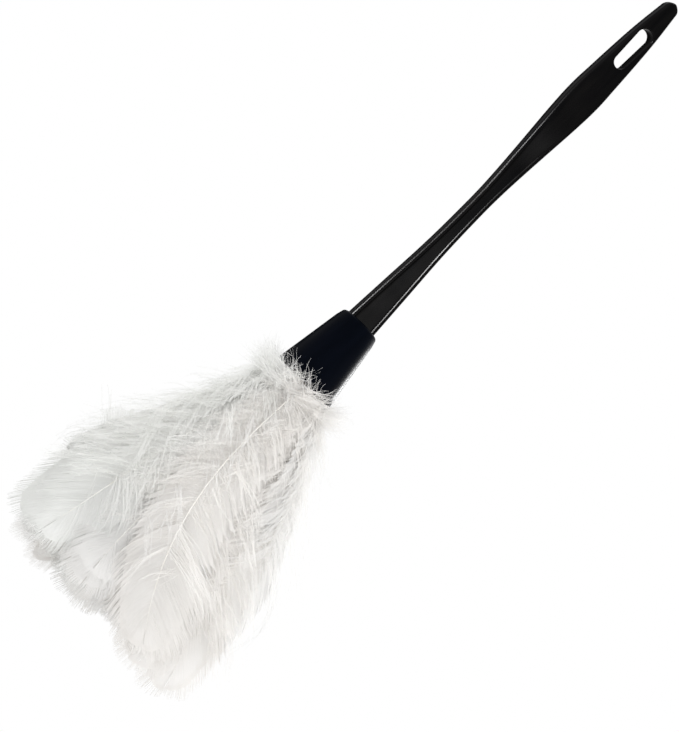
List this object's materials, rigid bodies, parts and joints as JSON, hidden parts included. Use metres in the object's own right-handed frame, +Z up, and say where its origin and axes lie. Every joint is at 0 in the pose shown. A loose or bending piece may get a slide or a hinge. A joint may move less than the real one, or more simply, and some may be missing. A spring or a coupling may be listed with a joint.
{
  "type": "feather duster",
  "caption": "Hand duster with a head of layered white turkey feathers bound into a black collar, on a flat moulded black handle with a hang slot.",
  "frame": {"origin": "the point in the hang slot that a hook bears on: the slot's top end, halfway through the handle", "axes": "+Z up along the handle towards its tip, feathers hang down along -Z; X across the handle's width; Y through its thickness, front face towards -Y"},
  "size_m": [0.1152, 0.0916, 0.3747],
  "materials": {
    "handle_plastic": "satin gloss black moulded plastic",
    "collar_plastic": "satin black with a faint blue cast",
    "rod_wood": "bare birch dowel",
    "set_glue": "set amber glue",
    "binding_wire": "bright annealed wire",
    "feather": "soft white feather, downy below and smooth at the tips"
  },
  "bodies": {
    "root": {"handle": "handle_plastic", "collar": "collar_plastic", "core_rod": "rod_wood", "glue_ring": "set_glue", "wire_inner": "binding_wire", "feather_inner_01": "feather", "feather_inner_02": "feather", "feather_inner_03": "feather", "feather_inner_04": "feather", "feather_inner_05": "feather", "feather_inner_06": "feather", "wire_second": "binding_wire", "feather_second_01": "feather", "feather_second_02": "feather", "feather_second_03": "feather", "feather_second_04": "feather", "feather_second_05": "feather", "feather_second_06": "feather", "feather_second_07": "feather", "feather_second_08": "feather", "feather_second_09": "feather", "feather_second_10": "feather", "wire_third": "binding_wire", "feather_third_01": "feather", "feather_third_02": "feather", "feather_third_03": "feather", "feather_third_04": "feather", "feather_third_05": "feather", "feather_third_06": "feather", "feather_third_07": "feather", "feather_third_08": "feather", "feather_third_09": "feather", "feather_third_10": "feather", "feather_third_11": "feather", "feather_third_12": "feather", "feather_third_13": "feather", "feather_third_14": "feather", "wire_cover": "binding_wire", "feather_cover_01": "feather", "feather_cover_02": "feather", "feather_cover_03": "feather", "feather_cover_04": "feather", "feather_cover_05": "feather", "feather_cover_06": "feather", "feather_cover_07": "feather", "feather_cover_08": "feather", "feather_cover_09": "feather", "feather_cover_10": "feather", "feather_cover_11": "feather", "feather_cover_12": "feather", "feather_cover_13": "feather", "feather_cover_14": "feather", "feather_cover_15": "feather", "feather_cover_16": "feather"}
  },
  "joints": []
}
